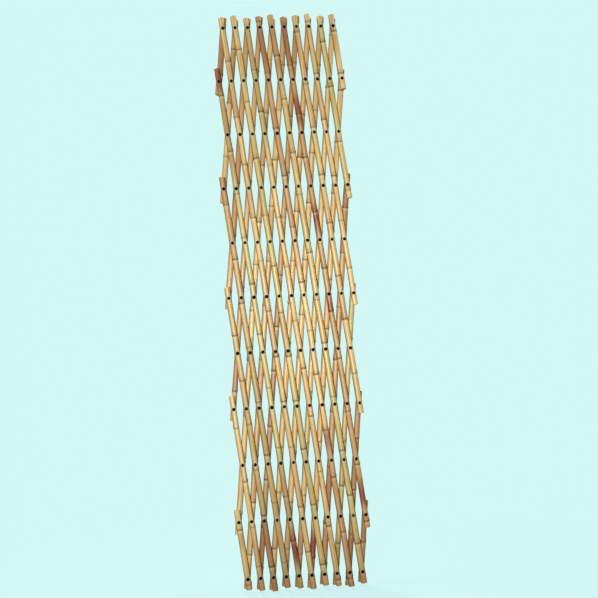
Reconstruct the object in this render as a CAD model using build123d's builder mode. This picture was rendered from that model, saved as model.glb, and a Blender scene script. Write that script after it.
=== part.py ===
from build123d import *
import os
from math import cos, radians, sin, sqrt

# Expanding bamboo fence panel, standing almost closed. Two layers of parallel canes lean opposite
# ways and are riveted wherever they cross, so the whole lattice spreads and folds as one.
# X runs along the panel, Z is up and the front faces -Y. Lengths are in millimetres.

# Lattice
pitch = 175.0             # from pivot to pivot along a cane
spread_angle = 13.0       # between the two layers as the panel stands, in degrees
row_count = 11            # rows of pivots
column_count = 21         # columns of pivots, filled on every second row
layer_gap = 1.0           # between the layers where canes cross, room for the growth rings

# Canes
cane_diameter = 18.4      # on average
diameter_spread = 1.2     # thinner or thicker from cane to cane
end_length = 38.5         # average overhang past the last pivot
end_spread = 6.0          # shorter or longer from end to end

# Rivets, square in the shank, so that they stay fixed in the front cane and the back cane turns
shank_width = 2.3
key_clearance = 0.05      # each side of the shank in the front cane
turning_clearance = 0.07  # round the shank's corners in the back cane
head_diameter = 11.4      # at the front
head_height = 2.0
head_sides = 8
tail_width = 5.0          # set over at the back
tail_height = 1.2
seat_clearance = 0.15     # under the head and under the tail

half_angle = radians(spread_angle / 2)
column_step = pitch * sin(half_angle)
row_step = pitch * cos(half_angle)
foot_height = (end_length + end_spread) * cos(half_angle) + cane_diameter / 2 * sin(half_angle)
key_width = shank_width + 2 * key_clearance
turning_width = shank_width * sqrt(2) + 2 * turning_clearance
golden_share = 0.6180339887


def vary(seed, spread):
    """A fixed offset within plus or minus spread that looks unplanned from seed to seed."""
    return spread * (2 * (seed * golden_share % 1) - 1)


class Cane:
    """A straight cane and its pivots, foot first. The side is -1 in front and +1 behind."""

    def __init__(self, side, number, pivots):
        seed = 20 * number + side
        self.side = side
        self.number = number
        self.pivots = pivots
        self.radius = (cane_diameter + vary(seed, diameter_spread)) / 2
        self.foot = end_length + vary(seed + 7, end_spread)
        self.tip = end_length + vary(seed + 11, end_spread)
        self.length = self.foot + pitch * (len(pivots) - 1) + self.tip
        self.crown = layer_gap / 2 + 2 * self.radius
        self.along = Vector(side * sin(half_angle), 0, cos(half_angle))
        self.across = Vector(cos(half_angle), 0, -side * sin(half_angle))

    def pivot_plane(self, pivot):
        """The plane between the layers, centred on a pivot, facing front and squared to the cane."""
        column, row = pivot
        centre = ((column - (column_count - 1) / 2) * column_step, 0, foot_height + row * row_step)
        return Plane(centre, x_dir=self.across, z_dir=(0, -1, 0))

    def foot_plane(self):
        """The plane of the lower cut end, facing up the cane."""
        inward = Vector(0, self.side * (layer_gap / 2 + self.radius), 0)
        foot = self.pivot_plane(self.pivots[0]).origin + inward - self.along * self.foot
        return Plane(foot, x_dir=self.across, z_dir=self.along)


def lay_canes(side):
    """All canes of one layer from left to right, each with two pivots or more."""
    canes = []
    for base in range(-row_count, column_count + row_count):
        pivots = [(base + side * row, row) for row in range(row_count)]
        pivots = [pivot for pivot in pivots if 0 <= pivot[0] < column_count]
        if base % 2 == 1 and len(pivots) > 1:
            canes.append(Cane(side, len(canes) + 1, pivots))
    return canes


front_canes = lay_canes(-1)
back_canes = lay_canes(+1)
back_cane_at = {pivot: cane for cane in back_canes for pivot in cane.pivots}
os.makedirs("parts", exist_ok=True)

# Canes: round sticks with a hole through at every pivot, a close one in front and a loose one behind
for layer, canes, hole_width in (("front", front_canes, key_width), ("back", back_canes, turning_width)):
    for cane in canes:
        with BuildPart() as bamboo:
            with BuildSketch(cane.foot_plane()):
                Circle(cane.radius)
            extrude(amount=cane.length)
            with BuildSketch(*[cane.pivot_plane(pivot) for pivot in cane.pivots]):
                Rectangle(hole_width, hole_width)
            extrude(amount=2 * cane.crown, both=True, mode=Mode.SUBTRACT)
        bamboo.part.label = f"{layer}_cane_{cane.number:02d}"
        export_step(bamboo.part, f"parts/{bamboo.part.label}.step")

# Rivets: one through each crossing, grouped by the front cane that they are driven into
for cane in front_canes:
    with BuildPart() as rivets:
        for pivot in cane.pivots:
            middle = cane.pivot_plane(pivot)
            head_seat = cane.crown + seat_clearance
            tail_seat = -back_cane_at[pivot].crown - seat_clearance
            with BuildSketch(middle.offset(tail_seat)):
                Rectangle(shank_width, shank_width)
            extrude(amount=head_seat - tail_seat)
            with BuildSketch(middle.offset(head_seat), mode=Mode.PRIVATE) as head_rim:
                RegularPolygon(head_diameter / 2, head_sides)
            loft([head_rim.sketch.face(), Vertex(middle.offset(head_seat + head_height).origin)], ruled=True)
            with BuildSketch(middle.offset(tail_seat), mode=Mode.PRIVATE) as tail_rim:
                Rectangle(tail_width, tail_width)
            loft([tail_rim.sketch.face(), Vertex(middle.offset(tail_seat - tail_height).origin)], ruled=True)
    rivets.part.label = f"rivets_{cane.number:02d}"
    export_step(rivets.part, f"parts/{rivets.part.label}.step")
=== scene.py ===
"""An expanding bamboo fence panel: two layers of canes, riveted at every crossing, almost closed.

Each cane grows along its own solid, with growth rings, buds and sawn hollow ends, and the rivets sit on
the canes as they have grown. Lengths are in metres, X runs along the panel and the front faces -Y.
"""

import math
import random

import bpy
import numpy as np
from mathutils import Matrix, Vector


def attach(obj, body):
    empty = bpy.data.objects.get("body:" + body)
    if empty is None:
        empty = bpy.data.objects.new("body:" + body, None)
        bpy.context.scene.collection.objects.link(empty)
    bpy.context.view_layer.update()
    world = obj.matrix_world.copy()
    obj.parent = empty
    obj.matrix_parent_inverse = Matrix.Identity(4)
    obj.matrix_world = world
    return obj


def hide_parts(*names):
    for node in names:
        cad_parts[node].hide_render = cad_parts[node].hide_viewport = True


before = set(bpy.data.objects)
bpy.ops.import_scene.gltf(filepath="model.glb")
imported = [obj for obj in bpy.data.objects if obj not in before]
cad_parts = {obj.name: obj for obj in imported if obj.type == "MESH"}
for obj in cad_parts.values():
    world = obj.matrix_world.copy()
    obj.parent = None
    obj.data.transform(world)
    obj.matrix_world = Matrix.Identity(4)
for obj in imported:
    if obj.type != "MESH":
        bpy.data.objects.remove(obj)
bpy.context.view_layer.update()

# Shape of the canes
CANE_COUNT = 15               # in each layer
CANE_SIDES = 24
CANE_SEED = 400
END_SKIN = 0.0005             # corners of a solid this near to its end lie on the end
INTERNODE = 0.162             # between growth rings, on average
INTERNODE_SPREAD = 0.16       # share of it, shorter or longer
FIRST_RING = (0.12, 0.95)     # lowest and highest, as shares of it
RING_TO_PIVOT = {"front": 0.017, "back": 0.023}   # a ring never grows nearer to a rivet
RING_TO_END = 0.013           # nor to a sawn end
RING_REACH = 0.060            # past which a ring leaves no mark
RING_STATIONS = (             # sections of the sweep, up from a ring
    -0.020, -0.013, -0.008, -0.005, -0.003, -0.0018, -0.001, -0.0005, 0.0, 0.0005,
    0.001, 0.0017, 0.0026, 0.0036, 0.0048, 0.0062, 0.008, 0.011, 0.015, 0.022,
)
STATION_STEP = 0.028          # from section to section along a plain stretch
STATION_GAP = 0.0004          # the least
CROOK = 0.0014                # sideways, at a ring
CROOK_OUT = 0.0004            # away from the other layer
TAPER = 0.02                  # thicker at one end, as a share of the radius
RING_HEIGHT = 0.0006
RING_WIDTH = 0.0009
SWELL_HEIGHT = 0.00045        # of the shoulder above a ring
SWELL_PLACE = 0.0048
SWELL_WIDTH = 0.0030
WAIST = 0.0001                # thinner between rings
WAIST_REACH = 0.030
BUD_HEIGHT = 0.0009
BUD_SHARPNESS = 9.0
LIP = 0.0009                  # worn edge of a sawn end
LIP_SHARE = 0.92              # of the radius, left within the lip
BORE_SHARE = 0.56             # of what the lip leaves
BORE_DEPTH = 0.022
BORE_TAPER = 0.88             # of the bore's mouth, at its bottom

# Colouring of the canes
RING_MARK = (0.2, 1.0)        # faintest and strongest
TONE = 0.7                    # lighter or darker, cane by cane
INTERNODE_TONE = 0.45         # and internode by internode
CHANCE_TINT = 0.75            # the most that a cane takes by chance
INTERNODE_TINT = 0.45         # and each internode of it
TINT_RARITY = 3               # the higher, the fewer that take much
TINT_EDGE = 4                 # the higher, the sharper a tinted stretch ends
STAIN = 0.75                  # of the feet, from damp ground
STAIN_REACH = 0.055
GRAIN_STEP = 7.3              # along the pattern of the grain, from one cane to the next
GRAIN_TO_BACK = 3.1           # and from the front layer to the back one

# Rivets
RIVET_SIDES = 12
SHANK_SIDES = 8
SHANK_RADIUS = 0.00115
HEAD_RADIUS = 0.0055
HEAD_WIDTHS = (0.94, 1.08)    # smallest and greatest, as shares of it
HEAD_HEIGHT = 0.0021
HEAD_RIM = 0.26               # share of the height
HEAD_STEPS = ((0.34, 0.86), (0.26, 0.70), (0.14, 0.45))   # shares of the height, and of the width below
HEAD_TILT = 0.06              # radians, either way
TAIL_RADIUS = 0.0026
TAIL_HEIGHT = 0.0012
TAIL_RIM = 0.40
TAIL_STEPS = ((0.40, 0.78), (0.20, 0.5))
TAIL_TILT = 0.05
RIVET_TURN = 0.5              # on its own axis, at most
RIVET_SINK = 0.0003           # into the cane under a head or a tail
RIVET_SEED = 10               # for each front cane
WORN_HEAD = (10, 9)           # front cane, and rivets down from its topmost


class Wire:
    """A socket of a node tree. Sums and products of wires add the Math nodes that work them out."""

    def __init__(self, tree, node, socket):
        self.tree = tree
        self.node = node
        self.socket = socket

    def output(self, name):
        return Wire(self.tree, self.node, self.node.outputs[name])

    def math(self, operation, *others, swap=False):
        values = (*others, self) if swap else (self, *others)
        return add(self.tree, "ShaderNodeMath", {"operation": operation}, dict(enumerate(values)))

    def __add__(self, other):
        return self.math("ADD", other)

    def __sub__(self, other):
        return self.math("SUBTRACT", other)

    def __mul__(self, other):
        return self.math("MULTIPLY", other)

    def __truediv__(self, other):
        return self.math("DIVIDE", other)

    def __rsub__(self, other):
        return self.math("SUBTRACT", other, swap=True)

    def __rtruediv__(self, other):
        return self.math("DIVIDE", other, swap=True)

    __radd__ = __add__
    __rmul__ = __mul__

    def bell(self, middle, width):
        """1 where the wire is at middle, falling away smoothly within width."""
        offset = (self - middle) / width
        return (offset * offset * -1).math("EXPONENT")

    def ramp(self, low, high):
        """0 up to low and 1 from high, smooth between."""
        return add(self.tree, "ShaderNodeMapRange", {"interpolation_type": "SMOOTHSTEP"},
                   {"Value": self, "From Min": low, "From Max": high})


def add(tree, kind, settings=None, sockets=None):
    """Adds a node of that kind, sets it up, then fills or links its sockets."""
    node = tree.nodes.new(kind)
    for name, value in (settings or {}).items():
        setattr(node, name, value)
    for name, value in (sockets or {}).items():
        if isinstance(value, Wire):
            tree.links.new(value.socket, node.inputs[name])
        else:
            node.inputs[name].default_value = value
    first = next((socket for socket in node.outputs if socket.enabled), None)
    return Wire(tree, node, first)


def put(name, data):
    """A new object in the scene."""
    item = bpy.data.objects.new(name, data)
    bpy.context.scene.collection.objects.link(item)
    return item


# Materials, in colours as they look on a screen

BROWNED = (168, 116, 62)
BLEACHED = (244, 222, 168)
LIGHTER = (250, 230, 172)
DARKER = (168, 112, 58)
# Painted shade of a cane's round, darker towards its sides
PAINTED_ROUNDING_SHADE = (184, 142, 94)
REDDENED = (134, 58, 39)
GREENED = (186, 180, 108)
DAMP = (150, 92, 58)
THREAD = (172, 108, 66)
FIBRE = (136, 92, 48)
SPECK = (74, 50, 30)
WAX = (242, 224, 178)
SMUDGE = (150, 100, 54)
RING_LINE = (44, 25, 14)
PITH = (226, 204, 152)
PITH_DOT = (170, 128, 78)
SAW_DIRT = (126, 92, 58)
BORE_SHADE = (58, 38, 22)
BLACK_PAINT = (5, 5, 6)
BLACK_DUST = (17, 17, 18)
RUBBED_BROWN = (98, 70, 48)


def paint(colour):
    """A screen's colour, from 0 to 255, as a shader's colour."""
    shares = [channel / 255 for channel in colour]
    return (*[c / 12.92 if c <= 0.04045 else ((c + 0.055) / 1.055) ** 2.4 for c in shares], 1.0)


def mix(tree, factor, below, above):
    """One colour laid over another, through the colour sockets of the node."""
    settings = {"data_type": "RGBA", "blend_type": "MIX", "clamp_factor": True}
    return add(tree, "ShaderNodeMix", settings, {0: factor, 6: below, 7: above}).output(2)


def layered(tree, ground, layers):
    """A ground colour with layers of a mask and a colour laid over it in turn."""
    body = paint(ground)
    for mask, colour in layers:
        body = mix(tree, mask, body, paint(colour))
    return body


def noise(tree, place, scale, detail=2.0, roughness=0.5):
    return add(tree, "ShaderNodeTexNoise", {"noise_dimensions": "3D"},
               {"Vector": place, "Scale": scale, "Detail": detail, "Roughness": roughness})


def drawn_out(tree, grain, across, along, detail, roughness):
    """Noise drawn out along a cane: waves to its radius across the grain, and to the metre along it."""
    stretched = add(tree, "ShaderNodeVectorMath", {"operation": "MULTIPLY"},
                    {0: grain, 1: (across, across, along)})
    return noise(tree, stretched, 1.0, detail, roughness)


def bumps(tree, height, strength, depth):
    return add(tree, "ShaderNodeBump", {}, {"Strength": strength, "Distance": depth, "Height": height})


def attribute(tree, name, output="Fac"):
    wire = add(tree, "ShaderNodeAttribute", {"attribute_type": "GEOMETRY", "attribute_name": name})
    return wire.output(output)


def new_material(name):
    material = bpy.data.materials.new(name)
    material.use_nodes = True
    material.node_tree.nodes.clear()
    return material, material.node_tree


def close_material(tree, sockets):
    """The surface itself, with its varying and its plain values."""
    surface = add(tree, "ShaderNodeBsdfPrincipled", {}, sockets)
    add(tree, "ShaderNodeOutputMaterial", {}, {"Surface": surface})


def bamboo_finish(name, pale, deep, flank_shade):
    """Dried cane: lengthwise fibres, stains, and a dark line with a waxy band at each growth ring, with
    painted shade darkening its sides towards their edges.
    """
    material, tree = new_material(name)
    grain = attribute(tree, "grain", "Vector")
    above = attribute(tree, "above_ring")
    below = attribute(tree, "below_ring")
    mark = attribute(tree, "ring_mark")
    shade = attribute(tree, "shade")
    blush = attribute(tree, "blush")
    green = attribute(tree, "green")
    flank = attribute(tree, "flank")
    stain = attribute(tree, "stain")

    fibres = drawn_out(tree, grain, across=26, along=8, detail=3.0, roughness=0.6)
    streaks = drawn_out(tree, grain, across=3.2, along=4.5, detail=3.0, roughness=0.55)
    patches = drawn_out(tree, grain, across=0.9, along=11, detail=3.0, roughness=0.6)
    threads = drawn_out(tree, grain, across=4.6, along=7, detail=2.0, roughness=0.55)
    specks = drawn_out(tree, grain, across=7, along=130, detail=2.0, roughness=0.6)
    wax = below.bell(0.0065, 0.0048) * mark
    smudge = above.bell(0.0070, 0.0075) * mark
    line = above.math("MINIMUM", below).bell(0.0, 0.0026) * (0.3 + 0.7 * mark)

    body = layered(tree, pale, [
        (streaks.ramp(0.34, 0.68), deep),
        (green * (0.5 + 0.8 * streaks), GREENED),
        (patches.ramp(0.56, 0.78) * 0.30, BROWNED),
        ((0.55 - patches).ramp(0.08, 0.3) * 0.25, BLEACHED),
        (shade.math("MAXIMUM", 0.0) * 0.16, LIGHTER),
        ((shade * -1).math("MAXIMUM", 0.0) * 0.20, DARKER),
        # Painted shade on the sides of each cane: a broad soft darkening of the round, then a narrow dark
        # edge line
        (flank.ramp(0.10, 0.75) * 0.40, PAINTED_ROUNDING_SHADE),
        (flank.ramp(0.54, 0.94) * (0.40 + 0.80 * threads), flank_shade),
        (blush * (0.55 + 0.75 * patches), REDDENED),
        (stain * (0.3 + 0.9 * patches), DAMP),
        (threads.ramp(0.52, 0.70) * 0.50, THREAD),
        (fibres.ramp(0.52, 0.8) * 0.30, FIBRE),
        (specks.ramp(0.66, 0.76) * 0.50, SPECK),
        (wax * 0.30, WAX),
        (smudge * (0.10 + 0.5 * streaks), SMUDGE),
        (line * 0.97, RING_LINE),
    ])
    roughness = 0.24 + 0.18 * fibres + 0.18 * wax + 0.12 * specks + 0.46 * flank.ramp(0.60, 0.94)
    relief = bumps(tree, fibres * 0.7 + streaks * 0.3, strength=0.35, depth=0.0004)
    close_material(tree, {"Base Color": body, "Roughness": roughness, "Normal": relief})
    return material


def cut_finish():
    """A sawn end: pale pith with fibre dots, darkening down the bore."""
    material, tree = new_material("sawn_end")
    place = add(tree, "ShaderNodeTexCoord").output("Object")
    dots = noise(tree, place, 1900.0, 2.0, 0.6)
    dirt = noise(tree, place, 240.0, 3.0, 0.6)
    body = layered(tree, PITH, [
        (dots.ramp(0.42, 0.66), PITH_DOT),
        (dirt.ramp(0.45, 0.75) * 0.5, SAW_DIRT),
        (attribute(tree, "bore") * 0.86, BORE_SHADE),
    ])
    relief = bumps(tree, dots, strength=0.5, depth=0.0004)
    close_material(tree, {"Base Color": body, "Roughness": 0.66 + 0.2 * dirt, "Normal": relief})
    return material


def rivet_finish():
    """Black paint, dusty, and rubbed through to brown where it is worn."""
    material, tree = new_material("black_rivet_paint")
    place = add(tree, "ShaderNodeTexCoord").output("Object")
    wear = attribute(tree, "wear")
    grit = noise(tree, place, 900.0, 3.0, 0.6)
    scuffs = noise(tree, place, 330.0, 3.0, 0.65)
    rubbed = (scuffs + wear * 0.4).ramp(0.72, 0.86)
    body = layered(tree, BLACK_PAINT, [
        (grit.ramp(0.4, 0.75), BLACK_DUST),
        (rubbed * 0.85, RUBBED_BROWN),
    ])
    relief = bumps(tree, grit, strength=0.25, depth=0.0003)
    close_material(tree, {"Base Color": body, "Roughness": 0.5 + 0.25 * grit + 0.1 * rubbed,
                          "Normal": relief, "Specular IOR Level": 0.12})
    return material


# Each with its pale and its deep colour, and the colour of the painted shade on its sides
finishes = {
    "straw_bamboo": bamboo_finish("straw_cane", (243, 218, 153), (213, 171, 102), (88, 57, 46)),
    "honey_bamboo": bamboo_finish("honey_cane", (241, 216, 155), (209, 169, 103), (86, 57, 47)),
    "russet_bamboo": bamboo_finish("russet_cane", (236, 201, 137), (209, 162, 97), (86, 50, 40)),
    "olive_bamboo": bamboo_finish("olive_cane", (238, 220, 151), (204, 178, 104), (84, 62, 46)),
}
sawn_end = cut_finish()
black_rivet = rivet_finish()


# Trees that grow the pieces

COMPARE_SOCKETS = {"FLOAT": (0, 1), "INT": (2, 3)}
RANGE_SOCKETS = (2, 3)        # of a random value that is one number
QUAD = 4                      # corners of a face of the sweep: its two caps have more


def new_tree(name, inputs):
    """A tree that takes a geometry and the named sizes, and gives a geometry back."""
    tree = bpy.data.node_groups.new(name, "GeometryNodeTree")
    tree.interface.new_socket("Geometry", in_out="INPUT", socket_type="NodeSocketGeometry")
    tree.interface.new_socket("Geometry", in_out="OUTPUT", socket_type="NodeSocketGeometry")
    for label, kind in inputs.items():
        tree.interface.new_socket(label, in_out="INPUT", socket_type="NodeSocket" + kind)
    return tree, add(tree, "NodeGroupInput")


def close_tree(tree, geometry):
    """Gives the geometry back."""
    add(tree, "NodeGroupOutput", {}, {"Geometry": geometry})


def field(tree, name, data_type="FLOAT"):
    return add(tree, "GeometryNodeInputNamedAttribute", {"data_type": data_type}, {"Name": name})


def store(tree, geometry, name, value, data_type="FLOAT", domain="POINT", selection=True):
    settings = {"data_type": data_type, "domain": domain}
    sockets = {"Geometry": geometry, "Selection": selection, "Name": name, "Value": value}
    return add(tree, "GeometryNodeStoreNamedAttribute", settings, sockets)


def step(tree, geometry, selection, rise, share):
    """Lifts the chosen faces by rise, shrinks them to share and gives the mesh and the lifted faces."""
    lifted = add(tree, "GeometryNodeExtrudeMesh", {"mode": "FACES"},
                 {"Mesh": geometry, "Selection": selection, "Offset Scale": rise, "Individual": False})
    shrunk = add(tree, "GeometryNodeScaleElements", {"domain": "FACE", "scale_mode": "UNIFORM"},
                 {"Geometry": lifted, "Selection": lifted.output("Top"), "Scale": share})
    return shrunk, lifted


def vector(tree, x=0.0, y=0.0, z=0.0):
    return add(tree, "ShaderNodeCombineXYZ", {}, {"X": x, "Y": y, "Z": z})


def greater(tree, value, limit, data_type):
    """Where a value is over a limit, both of that type."""
    first, second = COMPARE_SOCKETS[data_type]
    return add(tree, "FunctionNodeCompare", {"data_type": data_type, "operation": "GREATER_THAN"},
               {first: value, second: limit})


def smooth(tree, geometry, selection=True, rounded=True):
    return add(tree, "GeometryNodeSetShadeSmooth", {"domain": "FACE"},
               {"Geometry": geometry, "Selection": selection, "Shade Smooth": rounded})


def cane_tree():
    """A round sweep along a cane's line, thick at each growth ring, budded and sawn hollow at both ends."""
    tree, sizes = new_tree("bamboo cane", {
        "Sides": "Int", "Ring Height": "Float", "Ring Width": "Float", "Swell Height": "Float",
        "Swell Place": "Float", "Swell Width": "Float", "Waist": "Float", "Waist Reach": "Float",
        "Bud Height": "Float", "Lip": "Float", "Bore Share": "Float", "Bore Depth": "Float",
        "Finish": "Material", "Sawn End": "Material"})
    size = sizes.output
    above = field(tree, "above_ring")
    nearest = above.math("MINIMUM", field(tree, "below_ring"))
    ridge = nearest.bell(0.0, size("Ring Width")) * size("Ring Height")
    swell = above.bell(size("Swell Place"), size("Swell Width")) * size("Swell Height")
    waist = (1 - nearest.bell(0.0, size("Waist Reach"))) * size("Waist")
    radius = field(tree, "girth") + ridge + swell - waist

    line = add(tree, "GeometryNodeMeshToCurve", {}, {"Mesh": size("Geometry")})
    line = add(tree, "GeometryNodeSetCurveNormal", {"mode": "FREE"},
               {"Curve": line, "Normal": (0.0, -1.0, 0.0)})
    circle = add(tree, "GeometryNodeCurvePrimitiveCircle", {"mode": "RADIUS"},
                 {"Resolution": size("Sides"), "Radius": 1.0})
    around = add(tree, "GeometryNodeInputPosition")
    circle = store(tree, circle, "around", around, "FLOAT_VECTOR")
    cane = add(tree, "GeometryNodeCurveToMesh", {},
               {"Curve": line, "Profile Curve": circle, "Scale": radius, "Fill Caps": True})

    grain = add(tree, "ShaderNodeVectorMath", {"operation": "ADD"},
                {0: field(tree, "around", "FLOAT_VECTOR"), 1: vector(tree, z=field(tree, "along"))})
    cane = store(tree, cane, "grain", grain, "FLOAT_VECTOR")
    normal = add(tree, "GeometryNodeInputNormal")
    facing = add(tree, "ShaderNodeVectorMath", {"operation": "DOT_PRODUCT"},
                 {0: normal, 1: (1.0, 0.0, 0.0)})
    sideways = facing.output("Value")
    # flank is 1 where a point faces sideways along the panel and 0 face on; the finish paints shade by it
    cane = store(tree, cane, "flank", sideways * sideways)
    towards = (sideways * field(tree, "bud_side")).math("MAXIMUM", 0.0)
    bud = towards.math("POWER", BUD_SHARPNESS) * above.bell(size("Swell Place"), size("Swell Width"))
    pushed = add(tree, "ShaderNodeVectorMath", {"operation": "SCALE"},
                 {0: normal, "Scale": bud * size("Bud Height")})
    cane = add(tree, "GeometryNodeSetPosition", {}, {"Geometry": cane, "Offset": pushed})

    corners = add(tree, "GeometryNodeInputMeshFaceNeighbors").output("Vertex Count")
    sawn = greater(tree, corners, QUAD, "INT")
    cane = store(tree, cane, "sawn", 1.0, domain="FACE", selection=sawn)
    cane, lip = step(tree, cane, sawn, size("Lip"), LIP_SHARE)
    cane, rim = step(tree, cane, lip.output("Top"), 0.0, size("Bore Share"))
    cane, bore = step(tree, cane, rim.output("Top"), size("Bore Depth") * -1, BORE_TAPER)
    inside = add(tree, "FunctionNodeBooleanMath", {"operation": "OR"},
                 {0: bore.output("Top"), 1: bore.output("Side")})
    cane = store(tree, cane, "bore", 1.0, domain="FACE", selection=inside)
    cut = greater(tree, field(tree, "sawn"), 0.5, "FLOAT")
    cane = smooth(tree, cane)
    cane = smooth(tree, cane, cut, rounded=False)
    cane = add(tree, "GeometryNodeRealizeInstances", {}, {"Geometry": cane})
    cane = add(tree, "GeometryNodeSetMaterial", {}, {"Geometry": cane, "Material": size("Finish")})
    cane = add(tree, "GeometryNodeSetMaterial", {},
               {"Geometry": cane, "Selection": cut, "Material": size("Sawn End")})
    close_tree(tree, cane)
    return tree


def rivet_tree():
    """A domed head, a shank and a set-over tail at every pivot."""
    tree, sizes = new_tree("lattice rivets", {
        "Sides": "Int", "Head Radius": "Float", "Head Height": "Float", "Tail Radius": "Float",
        "Tail Height": "Float", "Shank Radius": "Float", "Seed": "Int", "Finish": "Material"})
    size = sizes.output
    points = size("Geometry")
    head_seat = field(tree, "head_seat")
    tail_seat = field(tree, "tail_seat")

    def button(radius, height, rim, steps):
        """A round button on its flat face: a straight rim, then steps that rise and narrow."""
        rim = height * rim
        disc = add(tree, "GeometryNodeMeshCylinder", {"fill_type": "NGON"},
                   {"Vertices": size("Sides"), "Radius": radius, "Depth": rim})
        top = disc.output("Top")
        mesh = add(tree, "GeometryNodeTransform", {},
                   {"Geometry": disc, "Translation": vector(tree, z=rim * 0.5)})
        for rise, share in steps:
            mesh, lifted = step(tree, mesh, top, height * rise, share)
            top = lifted.output("Top")
        return mesh

    def placed(shape, depth, turn, scale):
        """The shape at every pivot, that far behind the middle of the panel."""
        spots = add(tree, "GeometryNodeSetPosition", {},
                    {"Geometry": points, "Offset": vector(tree, y=depth)})
        return add(tree, "GeometryNodeInstanceOnPoints", {},
                   {"Points": spots, "Instance": shape, "Rotation": turn, "Scale": scale})

    def loose(quarter, tilt, seed):
        """Square to the panel, give or take a little, and turned at random on its own axis."""
        return add(tree, "FunctionNodeRandomValue", {"data_type": "FLOAT_VECTOR"},
                   {"Min": (quarter - tilt, -tilt, 0.0), "Max": (quarter + tilt, tilt, RIVET_TURN),
                    "Seed": seed})

    width = add(tree, "FunctionNodeRandomValue", {"data_type": "FLOAT"},
                {**dict(zip(RANGE_SOCKETS, HEAD_WIDTHS)), "Seed": size("Seed")})
    heads = button(size("Head Radius"), size("Head Height"), HEAD_RIM, HEAD_STEPS)
    tails = button(size("Tail Radius"), size("Tail Height"), TAIL_RIM, TAIL_STEPS)
    shank = add(tree, "GeometryNodeMeshCylinder", {"fill_type": "NGON"},
                {"Vertices": SHANK_SIDES, "Radius": size("Shank Radius"), "Depth": 1.0})
    quarter = math.pi / 2
    heads = placed(heads, head_seat * -1, loose(quarter, HEAD_TILT, size("Seed")),
                   vector(tree, width, width, 1.0))
    tails = placed(tails, tail_seat, loose(-quarter, TAIL_TILT, size("Seed") + 1), (1.0, 1.0, 1.0))
    shanks = placed(shank, (tail_seat - head_seat) * 0.5, (quarter, 0.0, 0.0),
                    vector(tree, 1.0, 1.0, head_seat + tail_seat))
    join = add(tree, "GeometryNodeJoinGeometry")
    for part in (heads, tails, shanks):
        tree.links.new(part.socket, join.node.inputs[0])
    rivets = add(tree, "GeometryNodeRealizeInstances", {}, {"Geometry": join})
    rivets = smooth(tree, rivets)
    rivets = add(tree, "GeometryNodeSetMaterial", {}, {"Geometry": rivets, "Material": size("Finish")})
    close_tree(tree, rivets)
    return tree


def base_mesh(name, points, edges, values):
    """Points, joined by edges, with a named value each."""
    mesh = bpy.data.meshes.new(name)
    mesh.from_pydata([tuple(point) for point in points], edges, [])
    for label, numbers in values.items():
        layer = mesh.attributes.new(label, "FLOAT", "POINT")
        layer.data.foreach_set("value", np.array(numbers, np.float32))
    return mesh


def grow(name, mesh, tree, inputs):
    """Runs a tree on a base mesh and keeps the result as a plain mesh."""
    piece = put(name, mesh)
    modifier = piece.modifiers.new("growth", "NODES")
    modifier.node_group = tree
    for item in tree.interface.items_tree:
        if item.in_out == "INPUT" and item.name in inputs:
            modifier[item.identifier] = inputs[item.name]
    view = bpy.context.evaluated_depsgraph_get()
    grown = bpy.data.meshes.new_from_object(piece.evaluated_get(view), preserve_all_data_layers=True,
                                            depsgraph=view)
    piece.modifiers.remove(modifier)
    piece.data = grown
    grown.name = name
    return piece


# Stretches that the sun reddened or that stayed green: middle and reach, as shares of the length,
# and strength. A cane with an empty row took no such colour, and one with no row a little by chance.
REDDER = {
    "front_cane_01": ((0.62, 0.10, 0.35),),
    "front_cane_02": ((0.15, 0.15, 0.15),),
    "front_cane_05": ((0.17, 0.07, 0.45), (0.075, 0.036, 1.0), (0.98, 0.035, 0.95), (0.88, 0.12, 0.5)),
    "front_cane_08": (),
    "front_cane_09": ((0.95, 0.09, 0.66), (0.72, 0.18, 0.5), (0.25, 0.025, 0.75), (0.12, 0.14, 0.45)),
    "front_cane_10": ((0.94, 0.08, 0.45),),
    "front_cane_11": ((0.5, 0.6, 0.38), (0.95, 0.07, 0.72), (0.81, 0.035, 1.0), (0.60, 0.032, 1.0),
                      (0.425, 0.022, 1.0), (0.065, 0.028, 1.0)),
    "front_cane_13": (),
    "front_cane_14": (),
    "front_cane_15": ((0.8, 0.3, 0.3),),
    "back_cane_09": ((0.06, 0.05, 0.25),),
    "back_cane_10": ((0.05, 0.05, 0.45),),
    "back_cane_11": ((0.077, 0.034, 1.0),),
    "back_cane_13": ((0.10, 0.06, 0.4),),
}
GREENER = {
    "front_cane_03": ((0.3, 0.3, 0.4),),
    "front_cane_07": ((0.62, 0.16, 0.8), (0.24, 0.13, 0.8)),
    "front_cane_08": ((0.86, 0.12, 0.85),),
    "front_cane_13": (),
    "front_cane_14": ((0.5, 0.6, 0.5),),
    "front_cane_15": (),
}
SLOTS = {
    "front_cane_03": "olive_bamboo",
    "front_cane_07": "olive_bamboo",
    "front_cane_14": "olive_bamboo",
    "front_cane_11": "russet_bamboo",
    "back_cane_11": "russet_bamboo",
}


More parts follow.
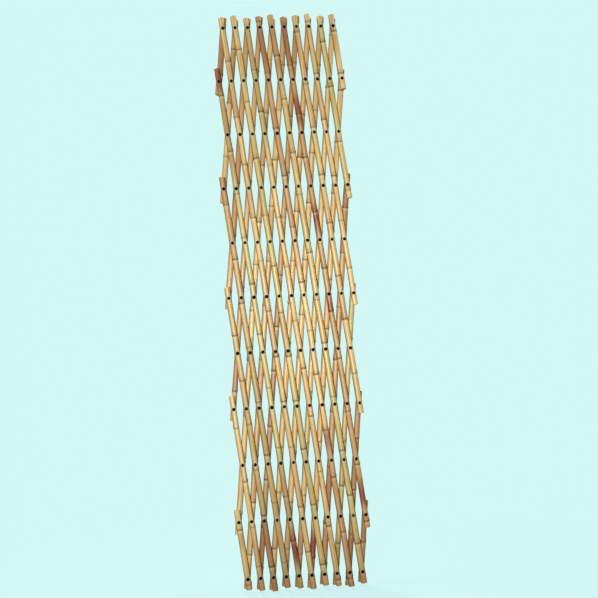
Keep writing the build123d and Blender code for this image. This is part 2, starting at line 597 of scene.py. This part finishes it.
class Cane:
    """The line of a cane, read from its solid, and what grows on it."""

    def __init__(self, layer, number):
        self.layer = layer
        self.number = number
        self.node = f"{layer}_cane_{number:02d}"
        corners = np.array([corner.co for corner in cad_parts[self.node].data.vertices], float)
        corners = np.unique(corners.round(6), axis=0)
        way = np.linalg.svd(corners - corners.mean(0), full_matrices=False)[2][0]
        way = way * np.sign(way[2])
        heights = corners @ way
        low = corners[heights < heights.min() + END_SKIN]
        high = corners[heights > heights.max() - END_SKIN]
        self.foot = (low.min(0) + low.max(0)) / 2
        tip = (high.min(0) + high.max(0)) / 2
        self.length = float(np.linalg.norm(tip - self.foot))
        self.way = (tip - self.foot) / self.length
        self.across = np.array([self.way[2], 0.0, -self.way[0]])
        self.out = np.array([0.0, np.sign(self.foot[1]), 0.0])
        self.radius = float(np.linalg.norm(low - self.foot, axis=1).max())
        self.chance = random.Random(number * 2 + (layer == "back") + CANE_SEED)
        self.pivots = []

    def grow_rings(self):
        """Places the growth rings up the cane, clear of its rivets and its ends."""
        self.rings = []
        clear = RING_TO_PIVOT[self.layer]
        height = INTERNODE * self.chance.uniform(*FIRST_RING)
        while height < self.length - RING_TO_END:
            pivot = min(self.pivots, key=lambda place: abs(place - height))
            if abs(pivot - height) < clear:
                height = pivot + math.copysign(clear, height - pivot)
            if height > RING_TO_END:
                self.rings.append(height)
            height += INTERNODE * self.chance.uniform(1 - INTERNODE_SPREAD, 1 + INTERNODE_SPREAD)

    def bend(self):
        """Knots of a slightly crooked line: on the rivets, and aside at each ring."""
        knots = [(0.0, 0.0, 0.0), (self.length, 0.0, 0.0)]
        knots += [(pivot, 0.0, 0.0) for pivot in self.pivots]
        knots += [(ring, self.chance.uniform(-CROOK, CROOK), self.chance.uniform(0, CROOK_OUT))
                  for ring in self.rings]
        return np.array(sorted(knots)).T

    def stations(self):
        """Heights at which the sweep has a section, close together at the rings."""
        plain = np.arange(LIP, self.length - LIP, STATION_STEP)
        close = [ring + offset for ring in self.rings for offset in RING_STATIONS]
        heights = [LIP, self.length - LIP]
        for height in sorted([*close, *plain]):
            clear = all(abs(height - taken) > STATION_GAP for taken in heights)
            if LIP < height < self.length - LIP and clear:
                heights.append(height)
        return np.array(sorted(heights))

    def girth(self, heights):
        """The radius at those heights, apart from the rings."""
        return self.radius * (1 + self.taper * (heights / self.length - 0.5))

    def seat(self, height):
        """How far from the middle of the panel a rivet sits on the cane."""
        return abs(self.foot[1]) + self.girth(height) - WAIST - RIVET_SINK

    def line(self):
        """The base mesh of this cane, with the values that its sweep and its finish read."""
        self.taper = self.chance.uniform(-TAPER, TAPER)
        self.grow_rings()
        heights = self.stations()
        knots, aside, out = self.bend()
        points = (self.foot + np.outer(heights, self.way)
                  + np.outer(np.interp(heights, knots, aside), self.across)
                  + np.outer(np.interp(heights, knots, out), self.out))
        rings = np.array(self.rings)
        internode = np.searchsorted(rings, heights, side="right")
        bounds = np.concatenate([[-RING_REACH], rings, [self.length + RING_REACH]])
        above = np.minimum(heights - bounds[internode], RING_REACH)
        below = np.minimum(bounds[internode + 1] - heights, RING_REACH)
        nearest = np.where(above < below, internode, internode + 1)
        marks = np.array([self.chance.uniform(*RING_MARK) for _ in bounds])
        tone = self.chance.uniform(-TONE, TONE)
        shades = np.array([tone + self.chance.uniform(-INTERNODE_TONE, INTERNODE_TONE)
                           for _ in range(len(rings) + 1)])
        values = {
            "girth": self.girth(heights),
            "above_ring": above,
            "below_ring": below,
            "ring_mark": marks[nearest],
            "bud_side": np.where(nearest % 2, 1.0, -1.0),
            "along": heights + GRAIN_STEP * self.number + (GRAIN_TO_BACK if self.layer == "back" else 0.0),
            "shade": shades[internode],
            "blush": self.tint(heights, internode, REDDER),
            "green": self.tint(heights, internode, GREENER),
            "stain": STAIN * np.exp(-(points[:, 2] / STAIN_REACH) ** 2),
        }
        edges = [(place, place + 1) for place in range(len(heights) - 1)]
        return base_mesh(self.node + "_line", points, edges, values)

    def tint(self, heights, internode, patches):
        """How far the cane has taken a colour: in the patches named for it, or else weakly, by chance."""
        if self.node not in patches:
            whole = CHANCE_TINT * self.chance.random() ** TINT_RARITY
            faint = np.array([whole + INTERNODE_TINT * self.chance.random() ** TINT_RARITY
                              for _ in range(len(self.rings) + 1)])
            return faint[internode]
        share = heights / self.length
        colour = np.zeros(len(heights))
        for middle, reach, strength in patches[self.node]:
            colour = np.maximum(colour, strength * np.exp(-((share - middle) / reach) ** TINT_EDGE))
        return colour


def crossing(front, back):
    """Heights up the two canes at which they cross."""
    ways = np.array([[front.way[0], -back.way[0]], [front.way[2], -back.way[2]]])
    return np.linalg.solve(ways, (back.foot - front.foot)[[0, 2]])


fronts = [Cane("front", number) for number in range(1, CANE_COUNT + 1)]
backs = [Cane("back", number) for number in range(1, CANE_COUNT + 1)]
pivots = {front.node: [] for front in fronts}
for front in fronts:
    for back in backs:
        up_front, up_back = crossing(front, back)
        if 0 < up_front < front.length and 0 < up_back < back.length:
            front.pivots.append(up_front)
            back.pivots.append(up_back)
            pivots[front.node].append((back, up_front, up_back))

cane_growth = cane_tree()
cane_sizes = {
    "Sides": CANE_SIDES, "Ring Height": RING_HEIGHT, "Ring Width": RING_WIDTH, "Swell Height": SWELL_HEIGHT,
    "Swell Place": SWELL_PLACE, "Swell Width": SWELL_WIDTH, "Waist": WAIST, "Waist Reach": WAIST_REACH,
    "Bud Height": BUD_HEIGHT, "Lip": LIP, "Bore Share": BORE_SHARE, "Bore Depth": BORE_DEPTH,
    "Sawn End": sawn_end,
}
for cane in fronts + backs:
    slot = SLOTS.get(cane.node, "straw_bamboo" if cane.layer == "front" else "honey_bamboo")
    piece = grow(f"bamboo_{cane.layer}_{cane.number:02d}", cane.line(), cane_growth,
                 {**cane_sizes, "Finish": finishes[slot]})
    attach(piece, cane.node)
    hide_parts(cane.node)

rivet_growth = rivet_tree()
rivet_sizes = {
    "Sides": RIVET_SIDES, "Head Radius": HEAD_RADIUS, "Head Height": HEAD_HEIGHT,
    "Tail Radius": TAIL_RADIUS, "Tail Height": TAIL_HEIGHT, "Shank Radius": SHANK_RADIUS,
    "Finish": black_rivet,
}
for front in fronts:
    spots = pivots[front.node]
    places = [front.foot + up_front * front.way for _, up_front, _ in spots]
    for place in places:
        place[1] = 0.0
    values = {
        "head_seat": [front.seat(up_front) for _, up_front, _ in spots],
        "tail_seat": [back.seat(up_back) for back, _, up_back in spots],
        "wear": [float((front.number, place) == WORN_HEAD) for place in range(len(spots))],
    }
    piece = grow(f"black_rivets_{front.number:02d}", base_mesh(front.node + "_pivots", places, [], values),
                 rivet_growth, {**rivet_sizes, "Seed": front.number * RIVET_SEED})
    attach(piece, front.node)
    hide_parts(f"rivets_{front.number:02d}")


# Floor, light and camera

BACKDROP = (211, 247, 245)
FLOOR_PALE = (173, 199, 197)
FLOOR_GREEN = (169, 200, 198)
FLOOR_UNSEEN = (92, 98, 98)          # what it throws back on to the canes
FLOOR_RADIUS = 9.0
FLOOR_SIDES = 64
FLOOR_DROP = 0.0005                  # below the feet
FLOOR_GRAIN = 60.0
FLOOR_CLEAR = 0.86                   # share near the feet
FLOOR_FADE = (0.3, 1.6)              # out from the middle, where it starts and ends clearing
SOFT_LIGHT = (1.0, 0.985, 0.96, 1.0)
SOFT_STRENGTH = 0.03
CLEAR = (1.0, 1.0, 1.0, 1.0)
KEY_COLOUR = (1.0, 0.985, 0.95)
TOP_COLOUR = (1.0, 0.99, 0.97)
KEY_AIM = (0.0, 0.0, 0.92)
TOP_AIM = (0.0, 0.0, 0.95)
CAMERA_AIM = (0.023, -0.020, 0.9026)
CAMERA_DISTANCE = 3.0
CAMERA_ANGLES = (-4.62, -4.09, -2.89)   # round the panel, upwards and tilted, in degrees
SENSOR_WIDTH = 36.0                  # in millimetres, as the lens is
LENS = 57.2


def rays(tree, kind):
    """1 for rays of that kind, such as those from the camera, and 0 for others."""
    return add(tree, "ShaderNodeLightPath").output(f"Is {kind} Ray")


def make_floor():
    """Takes the panel's shadow near its feet. It is clear to the camera farther out, and to lamplight."""
    turns = np.linspace(0, 2 * math.pi, FLOOR_SIDES, endpoint=False)
    corners = [(math.cos(turn) * FLOOR_RADIUS, math.sin(turn) * FLOOR_RADIUS, -FLOOR_DROP)
               for turn in turns]
    mesh = bpy.data.meshes.new("floor")
    mesh.from_pydata(corners, [], [tuple(range(FLOOR_SIDES))])
    floor = put("floor", mesh)
    material, tree = new_material("pale_floor")
    place = add(tree, "ShaderNodeTexCoord").output("Object")
    reach = add(tree, "ShaderNodeVectorMath", {"operation": "LENGTH"}, {0: place}).output("Value")
    pale = mix(tree, noise(tree, place, FLOOR_GRAIN), paint(FLOOR_PALE), paint(FLOOR_GREEN))
    colour = mix(tree, rays(tree, "Camera"), paint(FLOOR_UNSEEN), pale)
    plain = add(tree, "ShaderNodeBsdfDiffuse", {}, {"Color": colour})
    clear = add(tree, "ShaderNodeBsdfTransparent", {}, {"Color": CLEAR})
    outwards = FLOOR_CLEAR + (1 - FLOOR_CLEAR) * reach.ramp(*FLOOR_FADE)
    share = rays(tree, "Camera") * outwards + rays(tree, "Shadow")
    surface = add(tree, "ShaderNodeMixShader", {}, {0: share, 1: plain, 2: clear})
    add(tree, "ShaderNodeOutputMaterial", {}, {"Surface": surface})
    mesh.materials.append(material)


def make_world():
    """A plain backdrop for the camera, and a weak even light on the canes."""
    world = bpy.data.worlds.new("studio")
    world.use_nodes = True
    tree = world.node_tree
    tree.nodes.clear()
    soft = add(tree, "ShaderNodeBackground", {}, {"Color": SOFT_LIGHT, "Strength": SOFT_STRENGTH})
    backdrop = add(tree, "ShaderNodeBackground", {}, {"Color": paint(BACKDROP), "Strength": 1.0})
    surface = add(tree, "ShaderNodeMixShader", {}, {0: rays(tree, "Camera"), 1: soft, 2: backdrop})
    add(tree, "ShaderNodeOutputWorld", {}, {"Surface": surface})
    bpy.context.scene.world = world


def make_lamp(name, place, aim, size, spread, power, colour):
    """A round lamp, that far across, with its spread in degrees and its power in watts."""
    lamp = bpy.data.lights.new(name, "AREA")
    lamp.shape = "DISK"
    lamp.size = size
    lamp.spread = math.radians(spread)
    lamp.energy = power
    lamp.color = colour
    holder = put(name, lamp)
    holder.location = place
    holder.rotation_mode = "QUATERNION"
    holder.rotation_quaternion = (Vector(aim) - Vector(place)).to_track_quat("-Z", "Y")
    holder.visible_camera = False


def make_camera():
    """Stands where the photograph was taken from: a little to the left and low, tilted a little."""
    azimuth, elevation, roll = (math.radians(angle) for angle in CAMERA_ANGLES)
    back = Vector((math.sin(azimuth) * math.cos(elevation), -math.cos(azimuth) * math.cos(elevation),
                   math.sin(elevation)))
    level = Vector((math.cos(azimuth), math.sin(azimuth), 0.0))
    upright = back.cross(level)
    right = level * math.cos(roll) + upright * math.sin(roll)
    up = upright * math.cos(roll) - level * math.sin(roll)
    lens = bpy.data.cameras.new("camera")
    lens.sensor_width = SENSOR_WIDTH
    lens.lens = LENS
    camera = put("camera", lens)
    turned = Matrix((right, up, back)).transposed().to_4x4()
    camera.matrix_world = Matrix.Translation(Vector(CAMERA_AIM) + back * CAMERA_DISTANCE) @ turned
    bpy.context.scene.camera = camera


make_floor()
make_world()
make_lamp("key", (-0.56, -2.94, 1.0), KEY_AIM, size=0.35, spread=96, power=27.1, colour=KEY_COLOUR)
make_lamp("back", (-0.9, 2.4, 4.2), TOP_AIM, size=0.9, spread=180, power=245.0, colour=TOP_COLOUR)
make_lamp("left", (-2.6, 0.0, 4.0), TOP_AIM, size=0.6, spread=180, power=80.0, colour=TOP_COLOUR)
make_lamp("right", (2.6, 0.0, 4.0), TOP_AIM, size=0.6, spread=180, power=80.0, colour=TOP_COLOUR)
make_camera()
bpy.context.scene.view_settings.view_transform = "Standard"
